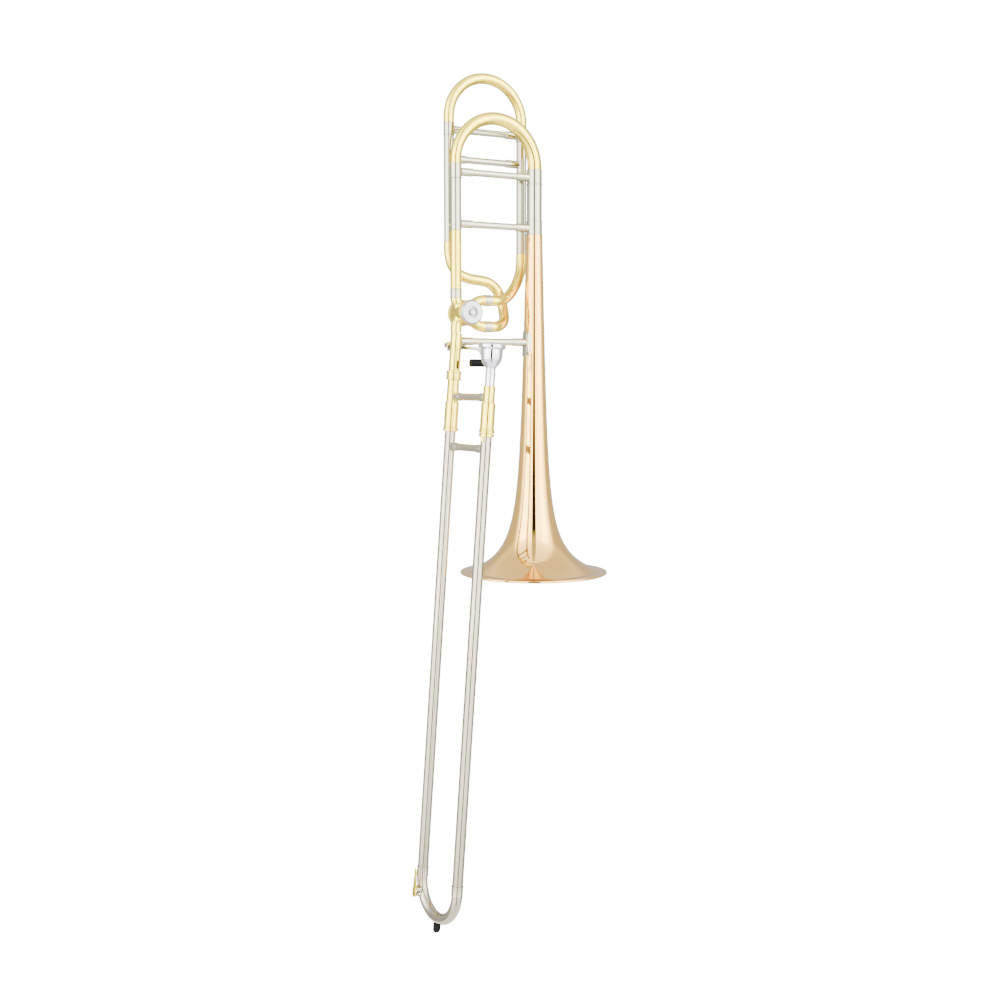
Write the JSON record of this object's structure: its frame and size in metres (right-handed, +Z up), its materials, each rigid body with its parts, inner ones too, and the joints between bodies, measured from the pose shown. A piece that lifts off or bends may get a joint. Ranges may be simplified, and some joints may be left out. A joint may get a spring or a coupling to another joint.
{
  "type": "tenor trombone",
  "caption": "Tenor trombone with a rotary fourth valve, thumb lever, hand slide, tuning slides, water key and mouthpiece.",
  "frame": {"origin": "centre of the bell's mouth, in the plane of its rim", "axes": "+Z up the bell's axis towards the bows, +X from the neck leg towards the bell leg, +Y towards the side of the fourth valve's tubing"},
  "size_m": [0.3074, 0.216, 1.2112],
  "materials": {
    "yellow_brass": "polished and clear-lacquered yellow brass",
    "rose_brass": "polished and clear-lacquered rose brass, redder than the rest",
    "nickel_silver": "polished nickel silver",
    "satin_nickel": "satin nickel silver",
    "chrome_plate": "chrome-plated slide tubing",
    "silver_plate": "polished silver plate",
    "spring_steel": "blued spring steel",
    "black_plastic": "black plastic",
    "black_rubber": "black rubber",
    "cork": "natural cork"
  },
  "bodies": {
    "bell_section": {"bell": "rose_brass", "bell_tail": "rose_brass", "bell_ferrule": "nickel_silver", "bell_leg_sleeve": "nickel_silver", "bell_flange": "nickel_silver", "neck_sleeve": "nickel_silver", "neck_tube": "yellow_brass", "neck_ferrule": "nickel_silver", "valve_casing": "yellow_brass", "valve_front_cap": "silver_plate", "valve_back_plate": "yellow_brass", "f_sleeve_left": "nickel_silver", "f_sleeve_right": "nickel_silver", "f_upper_ferrule": "nickel_silver", "f_lower_ferrule": "nickel_silver", "f_upper_loop": "yellow_brass", "f_lower_loop": "yellow_brass", "fixed_brace": "nickel_silver", "f_fixed_brace": "nickel_silver", "bell_brace": "nickel_silver", "f_link_left": "nickel_silver", "f_link_right": "nickel_silver", "lever_saddle": "nickel_silver", "lever_spring": "spring_steel", "bell_receiver": "yellow_brass"},
    "main_tuning_slide": {"main_slide_leg_left": "nickel_silver", "main_slide_leg_right": "nickel_silver", "main_bow": "yellow_brass", "main_slide_brace": "nickel_silver"},
    "f_tuning_slide": {"f_slide_leg_left": "nickel_silver", "f_slide_leg_right": "nickel_silver", "f_bow": "yellow_brass", "f_slide_brace": "nickel_silver"},
    "thumb_lever_group": {"thumb_lever": "nickel_silver", "thumb_pad": "black_plastic"},
    "rotor_group": {"rotor": "nickel_silver", "stop_arm": "nickel_silver"},
    "linkage": {"linkage_rod": "nickel_silver"},
    "slide_section": {"slide_tenon": "yellow_brass", "cork_barrel_left": "yellow_brass", "cork_barrel_right": "yellow_brass", "slide_cork_left": "cork", "slide_cork_right": "cork", "inner_tube_left": "chrome_plate", "inner_tube_right": "chrome_plate", "leadpipe_receiver": "yellow_brass", "upper_slide_brace": "satin_nickel"},
    "lock_nut_body": {"lock_nut": "yellow_brass"},
    "lock_ring": {"slide_lock_ring": "yellow_brass"},
    "mouthpiece_body": {"mouthpiece": "silver_plate"},
    "outer_slide": {"outer_tube_left": "nickel_silver", "outer_tube_right": "nickel_silver", "crook_ferrule_left": "nickel_silver", "crook_ferrule_right": "nickel_silver", "crook": "nickel_silver", "hand_brace": "satin_nickel", "bumper": "black_rubber", "water_key_saddle": "nickel_silver"},
    "water_key_group": {"water_key": "yellow_brass", "water_key_cork": "cork"}
  },
  "joints": [
    {"name": "main_tuning", "type": "slide", "parent": "bell_section", "child": "main_tuning_slide", "axis": [0, 0, 1], "range_m": [0, 0.045]},
    {"name": "f_tuning", "type": "slide", "parent": "bell_section", "child": "f_tuning_slide", "axis": [0, 0, 1], "range_m": [0, 0.12]},
    {"name": "lever_press", "type": "hinge", "parent": "bell_section", "child": "thumb_lever_group", "pos_m": [-0.1205, 0.0145, 0.3315], "axis": [1, 0, 0], "range_deg": [0, 28.7], "stiffness_Nm_per_rad": 0.12, "springref_deg": -34.38},
    {"name": "rotor_turn", "type": "hinge", "parent": "bell_section", "child": "rotor_group", "pos_m": [-0.11, 0, 0.3765], "axis": [0, 1, 0], "range_deg": [0, 90]},
    {"name": "rod_lift", "type": "slide", "parent": "bell_section", "child": "linkage", "axis": [0, 0, 1], "range_m": [0, 0.00995]},
    {"name": "section_swing", "type": "hinge", "parent": "bell_section", "child": "slide_section", "pos_m": [-0.125, 0, 0.34], "axis": [0.0729, 0, 0.9973], "range_deg": [-10, 10]},
    {"name": "nut_turn", "type": "hinge", "parent": "slide_section", "child": "lock_nut_body", "pos_m": [-0.125, 0, 0.34], "axis": [0.0729, 0, 0.9973], "continuous": true},
    {"name": "mouthpiece_pull", "type": "slide", "parent": "slide_section", "child": "mouthpiece_body", "axis": [0.0729, 0, 0.9973], "range_m": [0, 0.05]},
    {"name": "lock_ring_turn", "type": "hinge", "parent": "slide_section", "child": "lock_ring", "pos_m": [-0.11274, -0.08916, 0.3391], "axis": [0.0729, 0, 0.9973], "range_deg": [0, 40]},
    {"name": "hand_slide", "type": "slide", "parent": "slide_section", "child": "outer_slide", "axis": [-0.0729, 0, -0.9973], "range_m": [0, 0.6]},
    {"name": "water_key_press", "type": "hinge", "parent": "outer_slide", "child": "water_key_group", "pos_m": [-0.19443, -0.00776, -0.44052], "axis": [-0.1362, 0.9906, 0.01], "range_deg": [0, 10], "stiffness_Nm_per_rad": 0.01, "springref_deg": -45.84}
  ],
  "couplings": [
    {"joint": "rotor_turn", "follows": "lever_press", "ratio": 3.1359},
    {"joint": "rod_lift", "follows": "lever_press", "m_per_rad": 0.019764}
  ]
}
